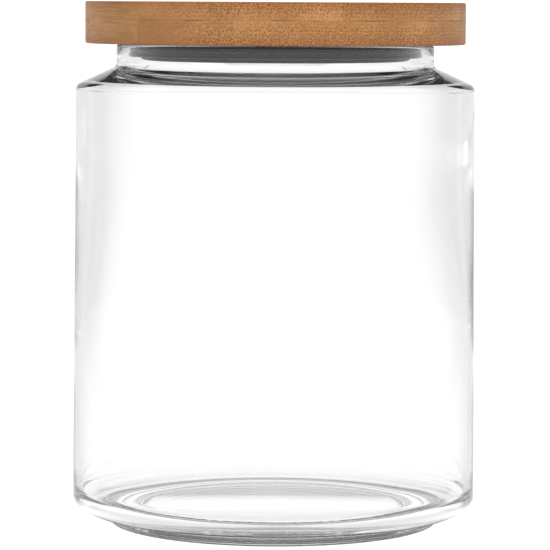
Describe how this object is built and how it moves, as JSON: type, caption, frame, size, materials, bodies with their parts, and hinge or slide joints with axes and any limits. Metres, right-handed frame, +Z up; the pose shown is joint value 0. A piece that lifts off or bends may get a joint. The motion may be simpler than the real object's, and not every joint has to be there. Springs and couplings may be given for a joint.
{
  "type": "lidded glass canister",
  "caption": "Tall round clear glass storage canister with a short neck and a push-in bamboo lid, sealed by a silicone gasket round its plug.",
  "frame": {"origin": "middle of the base, at the height of the surface that the jar stands on", "axes": "+Z up through the lid, +Y along the bamboo's grain, +X across the strips"},
  "size_m": [0.172, 0.172, 0.222],
  "materials": {
    "clear_glass": "clear soda-lime glass, fire-polished, with a faint waviness in the wall and slight marks round the foot",
    "bamboo": "oiled solid bamboo, matt, with dark fibre dots on end grain and fine streaks along the grain",
    "silicone": "soft smoke-grey silicone, satin"
  },
  "bodies": {
    "jar": {"glass_jar": "clear_glass"},
    "lid": {"lid_lower_strip_1": "bamboo", "lid_lower_strip_2": "bamboo", "lid_lower_strip_3": "bamboo", "lid_lower_strip_4": "bamboo", "lid_lower_strip_5": "bamboo", "lid_lower_strip_6": "bamboo", "lid_lower_strip_7": "bamboo", "lid_lower_strip_8": "bamboo", "lid_upper_strip_1": "bamboo", "lid_upper_strip_2": "bamboo", "lid_upper_strip_3": "bamboo", "lid_upper_strip_4": "bamboo", "lid_upper_strip_5": "bamboo", "lid_upper_strip_6": "bamboo", "lid_upper_strip_7": "bamboo", "lid_upper_strip_8": "bamboo", "plug_strip_1": "bamboo", "plug_strip_2": "bamboo", "plug_strip_3": "bamboo", "plug_strip_4": "bamboo", "plug_strip_5": "bamboo", "plug_strip_6": "bamboo", "gasket": "silicone"}
  },
  "joints": [
    {"name": "lid_lift", "type": "slide", "parent": "jar", "child": "lid", "axis": [0, 0, 1], "range_m": [0, 0.15]}
  ]
}
